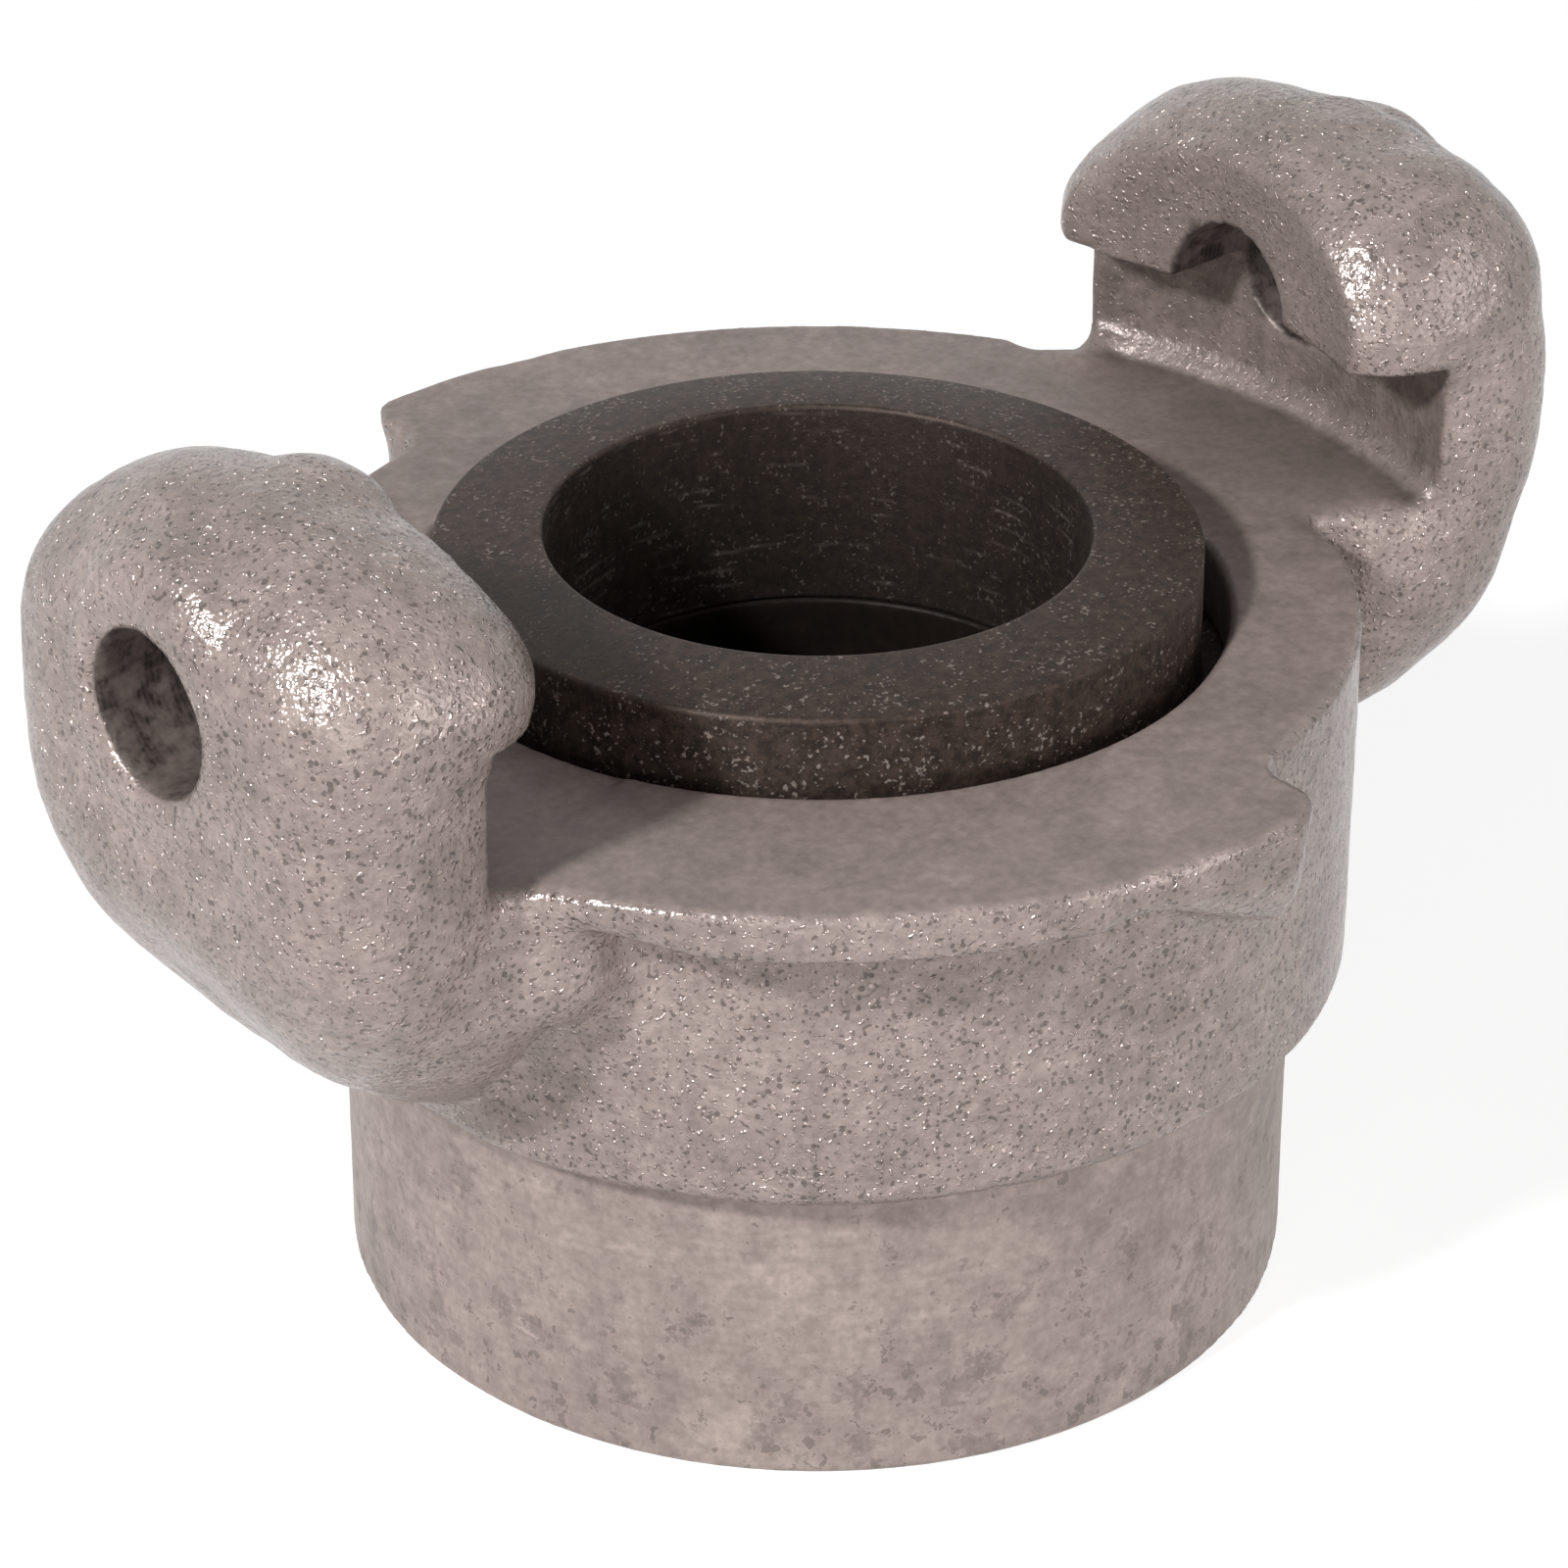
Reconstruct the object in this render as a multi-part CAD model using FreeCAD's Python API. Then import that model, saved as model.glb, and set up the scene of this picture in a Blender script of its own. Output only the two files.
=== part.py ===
import FreeCAD, Part
import math
import os
from FreeCAD import Vector

# Claw coupling half: one malleable iron casting and the rubber ring that seals it.
# Millimetres, +Z up, origin in the middle of the socket's open bottom face.
# The two claws stand on the X axis and the part repeats every half turn about Z.

# Socket base, with the pipe thread's plain wall at the thread's root radius
base_radius = 33.0
base_edge_chamfer = 0.4
thread_radius = 23.9
thread_depth = 21.0
mouth_chamfer = 1.4
relief_depth = 0.9
relief_width = 4.0
throat_rise = 8.0
bore_radius = 18.4

# Belly and the flat coupling face on top of it
belly_step = 3.7
belly_bottom = 23.4
belly_height = 25.9
belly_chamfer = 0.9
waist_chamfer = 0.5

# Lip that the other half's claws run under, with a thicker detent at its free end
lip_overhang = 6.6
lip_thickness = 3.5
lip_chamfer = 0.4
lip_end_angle = 98.0
lip_corner_radius = 3.2
lip_root_radius = 3.0
detent_start_angle = 80.0
detent_ramp_slope = 32.0
detent_thickness = 6.4
detent_fall = 6.5

# Seal ring, standing proud of the face, with a foot that an undercut groove holds
ring_outer_radius = 26.0
ring_hole_clearance = 0.05
ring_stand = 5.2
ring_crown = 0.8
ring_chamfer = 0.35
ring_foot_clearance = 0.2

# Seat of the seal ring
seat_depth = 10.0
seat_side_gap = 1.9
seat_chamfer = 0.5
groove_depth = 2.0
groove_height = 4.4

# Slot that the other half's lip turns into, and the hook that reaches over it
slot_height = 10.2
slot_clearance = 2.4
slot_foot_radius = 2.0
slot_floor_drop = 0.35
slot_floor_ledge = 0.9
slot_floor_half_angle = 23.0
hook_overlap = 4.8
hook_thickness = 12.7

# Claw around the slot
claw_width = 38.0
claw_wall = 9.3
claw_shoulder = 2.2
claw_root_depth = 4.0
claw_foot_drop = 1.2
flank_rise = 1.7

# Lock pin hole through each claw, and the boss around it
pin_radius = 5.4
boss_radius = 11.0
boss_stand = 0.3
boss_rim_radius = 4.0

# How far a cutting tool runs past what it cuts
cut_margin = 5.0

# Stations of a claw from the axis outwards, each as a share of the whole: how far
# out, how wide the dome and the flanks are, how high above the slot and how deep
# below the flanks; last, how full the dome is (2 is an ellipse, more is squarer)
claw_stations = (
    (0.00, 0.61, 0.61, 0.34, 0.90, 2.0),
    (0.15, 0.785, 0.75, 0.58, 0.895, 2.0),
    (0.26, 0.915, 0.865, 0.77, 0.86, 2.0),
    (0.42, 0.985, 0.93, 0.94, 0.785, 2.05),
    (0.58, 1.00, 0.965, 1.00, 0.70, 2.1),
    (0.74, 0.98, 0.965, 0.93, 0.60, 2.15),
    (0.87, 0.895, 0.90, 0.73, 0.455, 2.15),
    (0.96, 0.745, 0.76, 0.50, 0.295, 2.1),
    (1.00, 0.55, 0.565, 0.32, 0.15, 2.0),
)
claw_root_fullness = 2.3
arch_point_count = 8

# Places that follow from the sizes
belly_radius = base_radius + belly_step
face_height = belly_bottom + belly_height
seat_height = face_height - seat_depth
counterbore_radius = ring_outer_radius + seat_side_gap
groove_radius = counterbore_radius + groove_depth
lip_radius = belly_radius + lip_overhang
slot_top = face_height + slot_height
slot_wall_radius = lip_radius + slot_clearance
hook_inner_radius = lip_radius - hook_overlap
claw_reach = slot_wall_radius + claw_wall
claw_top = slot_top + hook_thickness
claw_inner = belly_radius - claw_root_depth
boss_reach = claw_reach + boss_stand
origin = Vector(0, 0, 0)
up = Vector(0, 0, 1)


def point(radius, height):
    return Vector(radius, 0, height)


def polar(radius, angle_deg):
    angle = math.radians(angle_deg)
    return Vector(radius * math.cos(angle), radius * math.sin(angle), 0)


def half_turn_pair(shape):
    other = shape.copy()
    other.rotate(origin, up, 180)
    return [shape, other]


def turned_solid(points, angle_deg=360):
    """Close a chain of points in the XZ plane and turn it about Z."""
    section = Part.Face(Part.makePolygon(points + points[:1]))
    return section.revolve(origin, up, angle_deg)


def make_barrel():
    """Socket, belly and seat as one turned section."""
    relief_radius = thread_radius + relief_depth
    relief_top = thread_depth + relief_width
    return turned_solid([
        point(thread_radius + mouth_chamfer, 0),
        point(base_radius - base_edge_chamfer, 0),
        point(base_radius, base_edge_chamfer),
        point(base_radius, belly_bottom),
        point(belly_radius - belly_chamfer, belly_bottom),
        point(belly_radius, belly_bottom + belly_chamfer),
        point(belly_radius, face_height - waist_chamfer),
        point(belly_radius - waist_chamfer, face_height),
        point(counterbore_radius + seat_chamfer, face_height),
        point(counterbore_radius, face_height - seat_chamfer),
        point(counterbore_radius, seat_height + groove_height),
        point(groove_radius, seat_height + groove_height),
        point(groove_radius, seat_height),
        point(bore_radius, seat_height),
        point(bore_radius, relief_top + throat_rise),
        point(relief_radius, relief_top),
        point(relief_radius, thread_depth),
        point(thread_radius, thread_depth - relief_depth),
        point(thread_radius, mouth_chamfer),
    ])


def make_lip_reach():
    """Everything inside one lip's plan, from the claw's root to its rounded free end."""
    inner = (counterbore_radius + belly_radius) / 2
    fillet_middle_out = belly_radius + lip_root_radius
    fillet_turn = math.asin(lip_root_radius / fillet_middle_out)
    root_angle = lip_end_angle + math.degrees(fillet_turn)
    fillet_middle = polar(fillet_middle_out, root_angle)
    end_line_foot = polar(fillet_middle_out * math.cos(fillet_turn), lip_end_angle)
    root = polar(belly_radius, root_angle)
    halfway = (end_line_foot + root) * 0.5 - fillet_middle
    fillet_low = fillet_middle + halfway.normalize() * lip_root_radius
    plan = Part.Face(Part.Wire([
        Part.makeCircle(lip_radius, origin, up, 0, lip_end_angle),
        Part.makeLine(polar(lip_radius, lip_end_angle), end_line_foot),
        Part.Arc(end_line_foot, fillet_low, root).toShape(),
        Part.makeLine(root, polar(inner, root_angle)),
        Part.makeCircle(inner, origin, up, 0, root_angle),
        Part.makeLine(polar(inner, 0), polar(lip_radius, 0)),
    ]))
    blank = plan.extrude(Vector(0, 0, face_height))
    tip = polar(lip_radius, lip_end_angle)
    upright = [
        edge for edge in blank.Edges
        if all(math.hypot(v.X - tip.x, v.Y - tip.y) < 1e-3 for v in edge.Vertexes)
    ]
    return blank.makeFillet(lip_corner_radius, upright)


def make_lip():
    """One lip, with the thicker detent sloping back to the belly under its free end."""
    reach = make_lip_reach()
    edge = lip_chamfer
    underside = face_height - lip_thickness
    flange = turned_solid([
        point(counterbore_radius, face_height),
        point(lip_radius - edge, face_height),
        point(lip_radius, face_height - edge),
        point(lip_radius, underside + edge),
        point(lip_radius - edge, underside),
        point(counterbore_radius, underside),
    ], 180)
    detent_bottom = face_height - detent_thickness
    block = turned_solid([
        point(counterbore_radius, face_height - edge),
        point(lip_radius, face_height - edge),
        point(lip_radius, detent_bottom),
        point(belly_radius, detent_bottom - detent_fall),
        point(counterbore_radius, detent_bottom - detent_fall),
    ], 180)
    size = 2 * lip_radius
    ramp = Part.makeBox(size, 2 * size, size, Vector(0, -size, -size))
    ramp.rotate(origin, Vector(1, 0, 0), -detent_ramp_slope)
    ramp.translate(Vector(0, 0, underside))
    ramp.rotate(origin, up, detent_start_angle)
    return [flange.common(reach), block.common(reach).cut(ramp)]


def arch_edge(x, middle, half_width, rise, fullness):
    """Half of a superellipse over the line z = middle in the plane at x; a negative rise hangs."""
    points = []
    for step in range(arch_point_count + 1):
        angle = math.pi * step / arch_point_count
        across = math.copysign(abs(math.cos(angle)) ** (2 / fullness), -math.cos(angle))
        along = math.sin(angle) ** (2 / fullness) if 0 < step < arch_point_count else 0
        points.append(Vector(x, across * half_width, middle + along * rise))
    if rise < 0:
        points.reverse()
    curve = Part.BSplineCurve()
    curve.interpolate(Points=points, Parameters=[float(step) for step in range(arch_point_count + 1)])
    return curve.toShape()


def make_claw_bulb():
    """Solid bulb of one claw on +X, before the slot and the pin hole."""
    dome_foot = slot_top + claw_shoulder
    flank_top = slot_top - claw_shoulder
    flank_bottom = face_height + flank_rise
    claw_foot = belly_bottom - claw_foot_drop
    wires = []
    for out, dome, flank, high, deep, fullness in claw_stations:
        x = claw_inner + out * (claw_reach - claw_inner)
        wide = dome * claw_width / 2
        side = flank * claw_width / 2
        rise = high * (claw_top - dome_foot)
        drop = deep * (claw_foot - flank_bottom)
        corners = [
            Vector(x, wide, dome_foot),
            Vector(x, side, flank_top),
            Vector(x, side, flank_bottom),
        ]
        mirrored = [Vector(x, -corner.y, corner.z) for corner in reversed(corners)]
        edges = [arch_edge(x, dome_foot, wide, rise, fullness)]
        edges += [Part.makeLine(a, b) for a, b in zip(corners, corners[1:])]
        edges += [arch_edge(x, flank_bottom, side, drop, claw_root_fullness)]
        edges += [Part.makeLine(a, b) for a, b in zip(mirrored, mirrored[1:])]
        wires.append(Part.Wire(edges))
    return Part.makeLoft(wires, True, False)


def make_boss():
    start = slot_wall_radius - cut_margin
    outwards = Vector(1, 0, 0)
    boss = Part.makeCylinder(boss_radius, boss_reach - start, Vector(start, 0, slot_top), outwards)
    rim = [edge for edge in boss.Edges if edge.BoundBox.XMin > boss_reach - 0.01]
    return boss.makeFillet(boss_rim_radius, rim)


def make_hook_clearance():
    """Turned space that the other half's lip and face need inside both claws."""
    foot = slot_foot_radius
    clear_top = claw_top + cut_margin
    foot_middle = point(slot_wall_radius - foot, face_height + foot)
    quarter = [
        foot_middle + foot * Vector(math.cos(a), 0, math.sin(a))
        for a in (-math.pi / 2, -math.pi / 4, 0)
    ]
    lines = [
        point(slot_wall_radius, slot_top),
        point(hook_inner_radius, slot_top),
        point(hook_inner_radius, clear_top),
        point(0, clear_top),
        point(0, face_height),
    ]
    outline = Part.makePolygon([quarter[2]] + lines + [quarter[0]])
    section = Part.Face(Part.Wire([Part.Arc(*quarter).toShape()] + outline.Edges))
    return section.revolve(origin, up, 360)


def make_slot_floor():
    """Shallow sector that the face is turned down by inside one claw."""
    floor = face_height - slot_floor_drop
    rim = slot_wall_radius - slot_floor_ledge
    sector = turned_solid([
        point(0, floor),
        point(rim, floor),
        point(rim, face_height + slot_foot_radius),
        point(0, face_height + slot_foot_radius),
    ], 2 * slot_floor_half_angle)
    sector.rotate(origin, up, -slot_floor_half_angle)
    return sector


def make_body():
    barrel = make_barrel()
    lips = [copy for piece in make_lip() for copy in half_turn_pair(piece)]
    pin_start = Vector(claw_inner, 0, slot_top)
    pin = Part.makeCylinder(pin_radius, boss_reach + cut_margin - claw_inner, pin_start, Vector(1, 0, 0))
    claw = make_claw_bulb().fuse(make_boss())
    claw = claw.cut(make_hook_clearance()).cut(pin)
    body = barrel.fuse(lips + half_turn_pair(claw))
    return body.cut(half_turn_pair(make_slot_floor())).removeSplitter()


def make_ring():
    foot_radius = groove_radius - ring_foot_clearance
    foot_top = seat_height + groove_height - ring_foot_clearance
    hole_radius = bore_radius + ring_hole_clearance
    edge = ring_chamfer
    hole_top = face_height + ring_stand
    rim_top = hole_top - ring_crown
    return turned_solid([
        point(hole_radius, seat_height),
        point(foot_radius, seat_height),
        point(foot_radius, foot_top),
        point(ring_outer_radius, foot_top),
        point(ring_outer_radius, rim_top - edge),
        point(ring_outer_radius - edge, rim_top),
        point(hole_radius + edge, hole_top),
        point(hole_radius, hole_top - edge),
    ])


os.makedirs("parts", exist_ok=True)
make_body().exportStep("parts/coupling_body.step")
make_ring().exportStep("parts/seal_ring.step")
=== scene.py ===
import math

import bmesh
import bpy
import numpy as np
from mathutils import Matrix, Vector, kdtree


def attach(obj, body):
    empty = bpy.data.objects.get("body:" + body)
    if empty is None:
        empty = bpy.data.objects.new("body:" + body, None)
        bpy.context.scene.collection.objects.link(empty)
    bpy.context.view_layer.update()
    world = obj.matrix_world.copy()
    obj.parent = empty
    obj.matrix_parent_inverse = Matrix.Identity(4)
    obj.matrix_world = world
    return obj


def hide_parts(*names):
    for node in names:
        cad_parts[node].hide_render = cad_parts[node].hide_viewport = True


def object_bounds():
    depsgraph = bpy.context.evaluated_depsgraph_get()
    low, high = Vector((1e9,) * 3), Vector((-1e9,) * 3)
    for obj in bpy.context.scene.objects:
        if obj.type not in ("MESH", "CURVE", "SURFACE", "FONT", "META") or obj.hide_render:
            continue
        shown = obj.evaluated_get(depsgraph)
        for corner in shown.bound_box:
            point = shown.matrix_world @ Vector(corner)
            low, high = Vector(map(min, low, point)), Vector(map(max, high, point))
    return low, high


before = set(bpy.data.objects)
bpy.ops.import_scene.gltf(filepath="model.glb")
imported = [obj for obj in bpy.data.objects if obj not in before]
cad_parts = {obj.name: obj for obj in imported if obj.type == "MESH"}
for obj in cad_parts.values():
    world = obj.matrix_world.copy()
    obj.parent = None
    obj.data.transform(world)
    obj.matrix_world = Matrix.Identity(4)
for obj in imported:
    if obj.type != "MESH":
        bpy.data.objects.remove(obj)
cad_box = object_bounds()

# Camera: the photograph's place and framing
# It looks down at thirty degrees from between the left claw and the lip's free end,
# through a long lens, and is turned a hair about its own axis.
camera_turn = math.radians(-41.3)
camera_rise = math.radians(30.16)
camera_roll = math.radians(0.189)
camera_distance = 0.41139
aim_height = 0.027
frame_width = 1600

camera_data = bpy.data.cameras.new("camera")
camera_data.sensor_width = 36.0
camera_data.lens = 135.97
camera_data.shift_x = -33.33 / frame_width
camera_data.shift_y = 96.33 / frame_width
camera_data.clip_start = 0.01
camera_data.clip_end = 20.0
camera = bpy.data.objects.new("camera", camera_data)
bpy.context.scene.collection.objects.link(camera)
back = Vector((
    math.sin(camera_turn) * math.cos(camera_rise),
    -math.cos(camera_turn) * math.cos(camera_rise),
    math.sin(camera_rise),
))
look = (-back).to_track_quat("-Z", "Y").to_matrix().to_4x4()
camera.matrix_world = (
    Matrix.Translation(Vector((0, 0, aim_height)) + back * camera_distance)
    @ look
    @ Matrix.Rotation(camera_roll, 4, "Z")
)
bpy.context.scene.camera = camera

# Coupling body
# One casting of malleable iron with a galvanised skin: socket, belly, two lips and two
# hooked claws. Its inside corners are filled by the mould's fillets and its outside
# edges are soft. The coupling face, the ring's seat and the bore are machined.
face_height = 0.0493
seat_radius = 0.0279
groove_radius = 0.0299
thread_relief_radius = 0.0248
socket_radius = 0.0330
belly_radius = 0.0367
belly_bottom = 0.0234
slot_wall_radius = 0.0457
slot_roof = 0.0595
hook_face_radius = 0.0385
claw_half_width = 0.0190
pin_radius = 0.0054
web_radius = 0.0046
slot_foot_radius = 0.0428

# How far each fillet or rounding spreads from its corner.
slot_fillet = 0.0005
collar_fillet = 0.0022
face_fillet = 0.0008
lip_end_fillet = 0.0044
claw_fillet = 0.0042
lip_fillet = 0.0016
machined_rounding = 0.0006
cast_rounding = 0.0010
lip_end_rounding = 0.0026
pin_rim_rounding = 0.0024
hook_tip_rounding = 0.0036
step_rounding = 0.0021

# The casting's mesh: how far apart its vertices are, and how many triangles it may have.
skin_step = 0.00040
most_triangles = 190000


def linear(hex_colour):
    """An sRGB hex colour as linear RGBA."""
    parts = [int(hex_colour[i:i + 2], 16) / 255 for i in (1, 3, 5)]
    return [c / 12.92 if c < 0.04045 else ((c + 0.055) / 1.055) ** 2.4 for c in parts] + [1.0]


def add_node(material, kind, sockets=None, **settings):
    """A new node, its settings, and its sockets set to values or linked to outputs."""
    tree = material.node_tree
    node = tree.nodes.new("ShaderNode" + kind)
    for name, value in settings.items():
        setattr(node, name, value)
    for key, value in (sockets or {}).items():
        socket = node.inputs[key] if isinstance(key, int) else next(
            s for s in node.inputs if key in (s.identifier, s.name) and s.enabled
        )
        if isinstance(value, bpy.types.NodeSocket):
            tree.links.new(value, socket)
        else:
            socket.default_value = value
    return node


def corner_tree(shape, kind, reach_at):
    """The solid's corners as points to measure from, each with how far its rounding spreads."""
    found = []
    for edge in shape.edges:
        turn = edge.calc_face_angle_signed(0.0)
        if abs(turn) < 0.35 or (turn < 0) != (kind == "inside"):
            continue
        first, last = (v.co for v in edge.verts)
        steps = max(1, round(edge.calc_length() / 0.0002))
        for step in range(steps + 1):
            place = first.lerp(last, step / steps)
            reach = reach_at(place)
            if reach > 0:
                found.append((place, reach))
    tree = kdtree.KDTree(len(found))
    for index, (place, reach) in enumerate(found):
        tree.insert(place, index)
    tree.balance()
    return tree, [reach for _, reach in found]


def lip_turn(place):
    """How many degrees a place is past the start of its lip."""
    return math.degrees(math.atan2(place.y, place.x)) % 180


def on_step(place):
    """Whether a place is on one of the shallow steps between the face and a slot's floor."""
    low = face_height - 0.0006 < place.z < face_height + 0.0001
    beside = 19 < min(lip_turn(place), 180 - lip_turn(place)) < 27
    return low and beside and seat_radius + 0.0004 < math.hypot(place.x, place.y) < 0.0446


def fillet_reach(place):
    """How far the mould's fillet spreads from an inside corner."""
    radius = math.hypot(place.x, place.y)
    by_claw = abs(place.y) < claw_half_width + 0.002
    if radius < socket_radius - 0.0005 or on_step(place):
        return 0.0
    if place.z > face_height - 0.0005:
        return slot_fillet
    if place.z < belly_bottom + 0.0006:
        return collar_fillet if by_claw and radius > belly_radius - 0.002 else 0.0
    if place.z > face_height - 0.0012:
        return face_fillet
    if 72 < lip_turn(place) < 112:
        return lip_end_fillet
    if by_claw or lip_turn(place) < 34:
        return claw_fillet
    return lip_fillet


def rounding_reach(place):
    """How far the rounding spreads from an outside edge."""
    if on_step(place):
        return 0.0
    if math.hypot(place.x, place.y) < seat_radius + 0.003 or place.z < 0.001:
        return machined_rounding
    return cast_rounding


def soft_rim_reach(place):
    """How far the softer rims spread: the lips' ends, the pin holes' rims, the hooks' tips."""
    radius = math.hypot(place.x, place.y)
    by_lip_end = radius > belly_radius + 0.002 and 84 < lip_turn(place) < 106
    if by_lip_end and 0.0420 < place.z < 0.0482:
        return lip_end_rounding
    pin_rim = math.hypot(place.y, place.z - slot_roof) < pin_radius + 0.0010
    if pin_rim and radius > slot_wall_radius + 0.003:
        return pin_rim_rounding
    near_tip = place.x * place.y > 0 and abs(place.y) > 0.0115
    if place.z > slot_roof + 0.001 and near_tip and radius < hook_face_radius + 0.001:
        return hook_tip_rounding
    return 0.0


def weigh(piece, name, tree, reaches, strength=1.0, lowest=0.0, highest=1.0, beyond=0.0):
    """A vertex group that fades out from the corners, between two heights, off the axis."""
    group = piece.vertex_groups.new(name=name)
    for vertex in piece.data.vertices:
        if lowest < vertex.co.z < highest and math.hypot(vertex.co.x, vertex.co.y) > beyond:
            _, index, distance = tree.find(vertex.co)
            share = 1 - distance / reaches[index]
            if share > 0:
                group.add((vertex.index,), strength * min(1.0, 2 * share), "REPLACE")


def settle(piece):
    """Turns the piece's modifiers into its mesh."""
    evaluated = piece.evaluated_get(bpy.context.evaluated_depsgraph_get())
    mesh = bpy.data.meshes.new_from_object(evaluated)
    piece.modifiers.clear()
    piece.vertex_groups.clear()
    piece.data = mesh


def add_modifier(piece, kind, **settings):
    modifier = piece.modifiers.new(kind.lower(), kind)
    for name, value in settings.items():
        setattr(modifier, name, value)
    return modifier


def cast_cloud(name, size):
    """A cloudy unevenness of the casting, with lumps of that size in metres."""
    cloud = bpy.data.textures.new(name, "CLOUDS")
    cloud.noise_scale = size
    cloud.noise_depth = 2
    return cloud


def smooth_between(low, high, values):
    share = np.clip((values - low) / (high - low), 0, 1)
    return share * share * (3 - 2 * share)


def read_vectors(mesh, name):
    """One row of three numbers for each vertex, such as its place or its normal."""
    values = np.empty(len(mesh.vertices) * 3)
    mesh.vertices.foreach_get(name, values)
    return values.reshape(-1, 3)


def nearness(places, middle, spread):
    """How near each place is to a point, from 0 at that spread to 1 close by."""
    return smooth_between(spread, 0.25 * spread, np.linalg.norm(places - np.array(middle), axis=1))


def blurred(mesh, values, times):
    """Values on the vertices, evened out with their neighbours' some times."""
    ends = np.empty(len(mesh.edges) * 2, dtype=np.int64)
    mesh.edges.foreach_get("vertices", ends)
    first, last = ends.reshape(-1, 2).T
    count = np.bincount(ends, minlength=len(values)) + 1
    for _ in range(times):
        after = np.bincount(first, values[last], len(values))
        before = np.bincount(last, values[first], len(values))
        values = (values + (after + before)) / count
    return values


def on_turned_face(mesh):
    """Which vertices lie on the flat coupling face or on a slot's floor."""
    x, y, z = read_vectors(mesh, "co").T
    upwards = read_vectors(mesh, "normal")[:, 2]
    low_enough = (z > face_height - 0.0007) & (z < face_height + 0.0001)
    return low_enough & (upwards > 0.8) & (np.hypot(x, y) < slot_wall_radius)


def in_pin_hole(mesh):
    """Which vertices are the walls of the drilled lock pin holes."""
    x, y, z = read_vectors(mesh, "co").T
    return (np.hypot(y, z - slot_roof) < pin_radius + 0.0002) & (np.abs(x) > seat_radius)


def skin_shares(mesh):
    """How rough the cast skin is at each vertex: 1 on claws and belly, 0 where machined."""
    x, y, z = read_vectors(mesh, "co").T
    nx, ny, _ = read_vectors(mesh, "normal").T
    radius = np.hypot(x, y)
    outwards = (x * nx + y * ny) / np.maximum(radius, 1e-6)
    skin = np.ones(len(x))
    in_slot = (z > face_height - 0.0005) & (z < slot_roof + 0.0002) & (outwards < 0.2)
    skin[in_slot & (radius < slot_wall_radius + 0.0005)] = 0.50
    on_hook = (z > slot_roof) & (np.abs(radius - hook_face_radius) < 0.0006) & (outwards < -0.6)
    skin[on_hook] = 0.62
    skin[(z < belly_bottom - 0.0003) & (radius < socket_radius + 0.0004)] = 0.3
    skin[on_turned_face(mesh)] = 0.12
    inside = (radius < groove_radius + 0.0003) & (z < face_height - 0.0001)
    skin[inside & (radius < socket_radius - 0.0004)] = 0.0
    skin[in_pin_hole(mesh)] = 0.2
    return skin


casting = bpy.data.objects.new("coupling_casting", bpy.data.meshes.new("coupling_casting"))
bpy.context.scene.collection.objects.link(casting)
solid = bmesh.new()
solid.from_mesh(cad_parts["coupling_body"].data)
bmesh.ops.remove_doubles(solid, verts=solid.verts, dist=2e-6)
inside_corners = corner_tree(solid, "inside", fillet_reach)
outside_edges = corner_tree(solid, "outside", rounding_reach)
soft_rims = corner_tree(solid, "outside", soft_rim_reach)
floor_steps = [
    corner_tree(solid, kind, lambda place: step_rounding * on_step(place))
    for kind in ("inside", "outside")
]

# A web fills the corner between each claw's root and the lip that starts there.
for side in (1, -1):
    bmesh.ops.create_icosphere(
        solid, subdivisions=4, radius=web_radius,
        matrix=Matrix.Translation((side * -0.0360, side * -0.0148, 0.0426)),
    )
solid.to_mesh(casting.data)
solid.free()

pattern = bpy.data.objects.new("casting_pattern", casting.data.copy())
bpy.context.scene.collection.objects.link(pattern)
add_modifier(casting, "REMESH", mode="VOXEL", voxel_size=skin_step)
add_modifier(casting, "SHRINKWRAP", target=pattern, wrap_method="NEAREST_SURFACEPOINT")
settle(casting)
bpy.data.objects.remove(pattern)

# The vertices beside an outside edge go onto it, so that the edge runs clean.
for vertex in casting.data.vertices:
    edge_place, _, distance = outside_edges[0].find(vertex.co)
    if distance < 0.7 * skin_step:
        vertex.co = edge_place

# Corners and edges are rounded, more so at the claws' roots and the lips' ends, while the
# face itself keeps its level.
weigh(casting, "fillets", *inside_corners, highest=face_height - 0.0004)
weigh(casting, "slot_fillets", *inside_corners, lowest=face_height - 0.0004)
weigh(casting, "edges", *outside_edges, strength=0.9)
weigh(casting, "soft_rims", *soft_rims)
weigh(casting, "step_feet", *floor_steps[0], beyond=seat_radius + 0.0010)
weigh(casting, "step_edges", *floor_steps[1], beyond=seat_radius + 0.0010)
places = read_vectors(casting.data, "co")
blended = np.zeros(len(places))
for side in (1, -1):
    for x, y, z, spread in (
        (-0.0352, -0.0165, 0.0412, 0.0125),
        (-0.0012, -0.0408, 0.0428, 0.0070),
        (0.0060, -0.0402, 0.0452, 0.0058),
    ):
        blended = np.maximum(blended, nearness(places, (side * x, side * y, z), spread))
blended *= smooth_between(face_height - 0.0008, face_height - 0.0026, places[:, 2])
blends = casting.vertex_groups.new(name="blends")
for index in np.flatnonzero(blended > 0.01):
    blends.add((int(index),), float(blended[index]), "REPLACE")
for group, times in (
    ("fillets", 90),
    ("slot_fillets", 24),
    ("blends", 340),
    ("soft_rims", 50),
    ("step_feet", 60),
    ("step_edges", 60),
    ("edges", 5),
):
    add_modifier(casting, "SMOOTH", factor=0.5, iterations=times, vertex_group=group)
settle(casting)

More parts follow.
